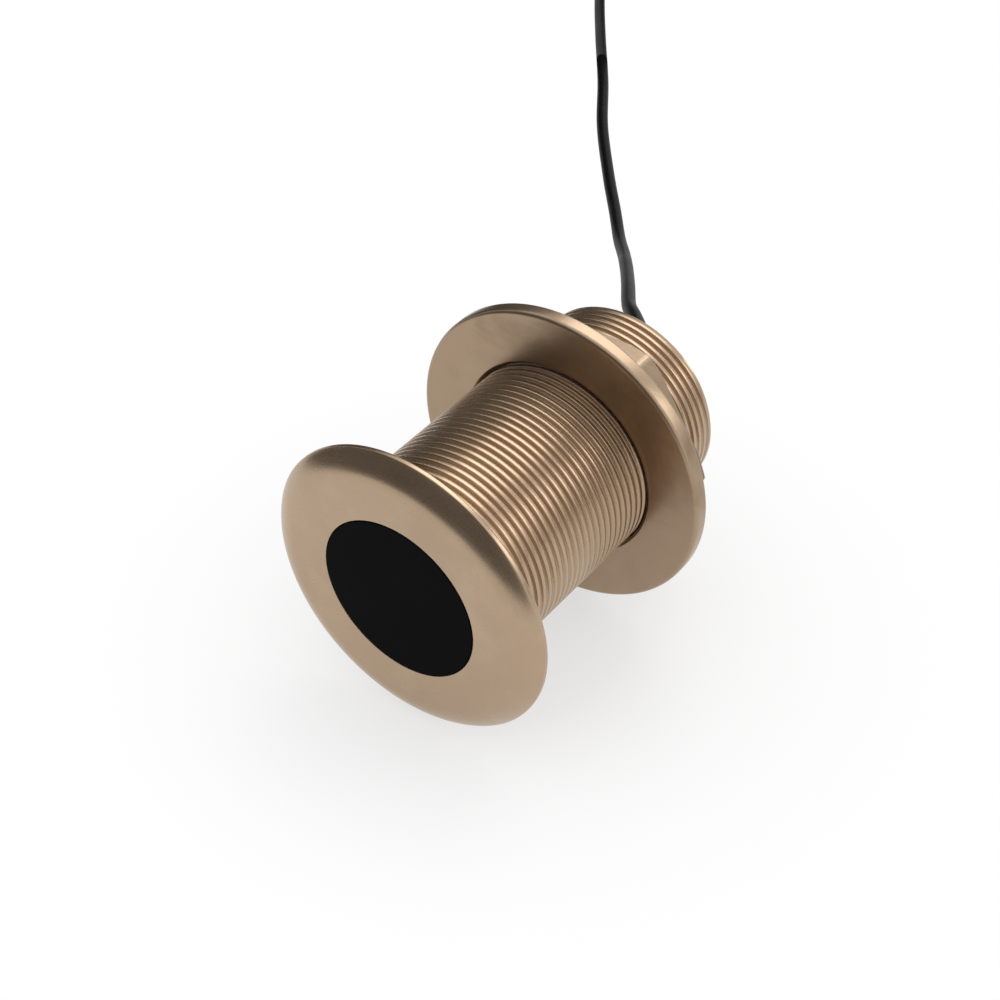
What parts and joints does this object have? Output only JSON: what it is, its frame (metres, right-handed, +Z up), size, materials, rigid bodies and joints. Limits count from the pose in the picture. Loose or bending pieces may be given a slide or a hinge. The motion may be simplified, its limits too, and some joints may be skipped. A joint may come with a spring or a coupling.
{
  "type": "sonar transducer",
  "caption": "Through-hull sonar transducer: domed bronze flange with a flush black window, long stem, flanged hex hull nut, coiled cable and round connector.",
  "frame": {"origin": "Middle of the footprint of the transducer itself, cable and connector apart, on the surface that it lies on.", "axes": "+Y runs from the acoustic window to the cable end, seen from above; +Z is up; +X is to the right of someone who looks along +Y. The transducer lies on its side, so its own axis rises 2.5 degrees towards +Y, from the smaller rim to the larger one."},
  "size_m": [0.2654, 0.4766, 0.0794],
  "materials": {
    "bronze": "Marine bronze, turned and lightly blasted, dull sheen.",
    "nut_bronze": "Cast and turned marine bronze.",
    "window": "Black cast urethane, satin.",
    "cork": "Cork and nitrile sheet.",
    "ceramic": null,
    "board": "Glass-epoxy board, green.",
    "ferrite": null,
    "winding": "Enamelled copper wire.",
    "brass": "Plain brass.",
    "capacitor": "Dipped film capacitor, red.",
    "wire_red": "Red insulation.",
    "wire_black": "Black insulation.",
    "tinned_copper": "Tinned copper strand.",
    "potting": "Black potting epoxy.",
    "cable": "Black cable jacket, satin.",
    "strap": "Black woven hook-and-loop strap.",
    "connector": "Black moulded nylon.",
    "insert": "Dark grey moulded insert.",
    "contact": "Gold-plated pin."
  },
  "bodies": {
    "root": {"housing": "bronze", "acoustic_window": "window", "isolator_cup": "cork", "ceramic_element": "ceramic", "backing_pad": "cork", "element_lead_hot": "wire_red", "element_lead_return": "wire_black", "terminal_board": "board", "core_front": "ferrite", "core_rear": "ferrite", "core_winding": "winding", "core_screw": "brass", "core_nut": "brass", "tuning_capacitor": "capacitor", "conductor_hot": "wire_red", "conductor_return": "wire_black", "shield_drain": "tinned_copper", "cable_ferrule": "brass", "rear_potting": "potting", "strain_relief": "cable", "hull_nut": "nut_bronze", "cable_run": "cable", "cable_coil": "cable", "cable_tail": "cable", "coil_strap_1": "strap", "coil_strap_2": "strap", "connector_boot": "cable", "connector_body": "connector", "coupling_ring": "connector", "contact_insert": "insert", "contact_pin_1": "contact", "contact_pin_2": "contact", "contact_pin_3": "contact", "contact_pin_4": "contact", "contact_pin_5": "contact"}
  },
  "joints": []
}
